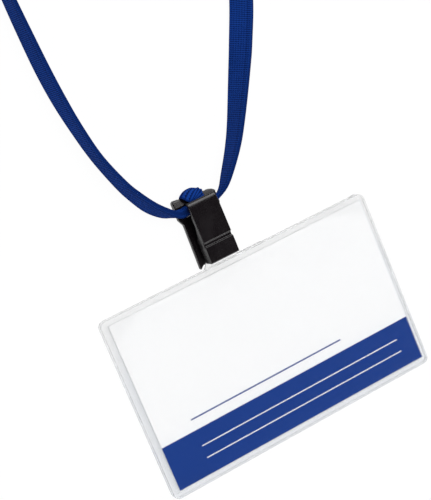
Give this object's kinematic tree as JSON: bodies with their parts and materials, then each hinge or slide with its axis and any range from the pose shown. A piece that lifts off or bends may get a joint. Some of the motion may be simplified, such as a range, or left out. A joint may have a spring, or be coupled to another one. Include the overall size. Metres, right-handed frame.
{
  "type": "lanyard badge holder",
  "caption": "Clear rigid name-card case with a side-opening pocket, hung by its tab from a black spring clip on a flat woven neck strap.",
  "frame": {"origin": "middle of the case's back face", "axes": "+X along the card's long side, +Y from the card to the clip, +Z out of the card's face"},
  "size_m": [0.1015, 0.2449, 0.0095],
  "materials": {
    "clear_plastic": "clear moulded, glossy",
    "card_paper": "printed card, satin",
    "black_plastic": "moulded, satin black",
    "pin_steel": "drawn wire",
    "strap_fabric": "flat woven, royal blue",
    "tie_rubber": "matte black"
  },
  "bodies": {
    "case": {"case_back": "clear_plastic", "case_front": "clear_plastic"},
    "card": {"name_card": "card_paper"},
    "clip": {"clip_base": "black_plastic", "pivot_pin": "pin_steel", "clip_spring": "pin_steel", "strap_turn": "strap_fabric", "strap_left_run": "strap_fabric", "strap_right_run": "strap_fabric", "strap_coil": "strap_fabric", "coil_tie": "tie_rubber"},
    "lever": {"clip_lever": "black_plastic"}
  },
  "joints": [
    {"name": "card_slide", "type": "slide", "parent": "case", "child": "card", "axis": [-1, 0, 0], "range_m": [0, 0.075]},
    {"name": "clip_swing", "type": "hinge", "parent": "case", "child": "clip", "pos_m": [-0.0045, 0.0334, 0.0025], "axis": [0, 0, 1], "range_deg": [-5, 5]},
    {"name": "lever_press", "type": "hinge", "parent": "clip", "child": "lever", "pos_m": [-0.0045, 0.0382, 0.00445], "axis": [-1, 0, 0], "range_deg": [0, 8], "stiffness_Nm_per_rad": 0.05, "springref_deg": -17.19, "deforming": ["clip_spring"]}
  ]
}
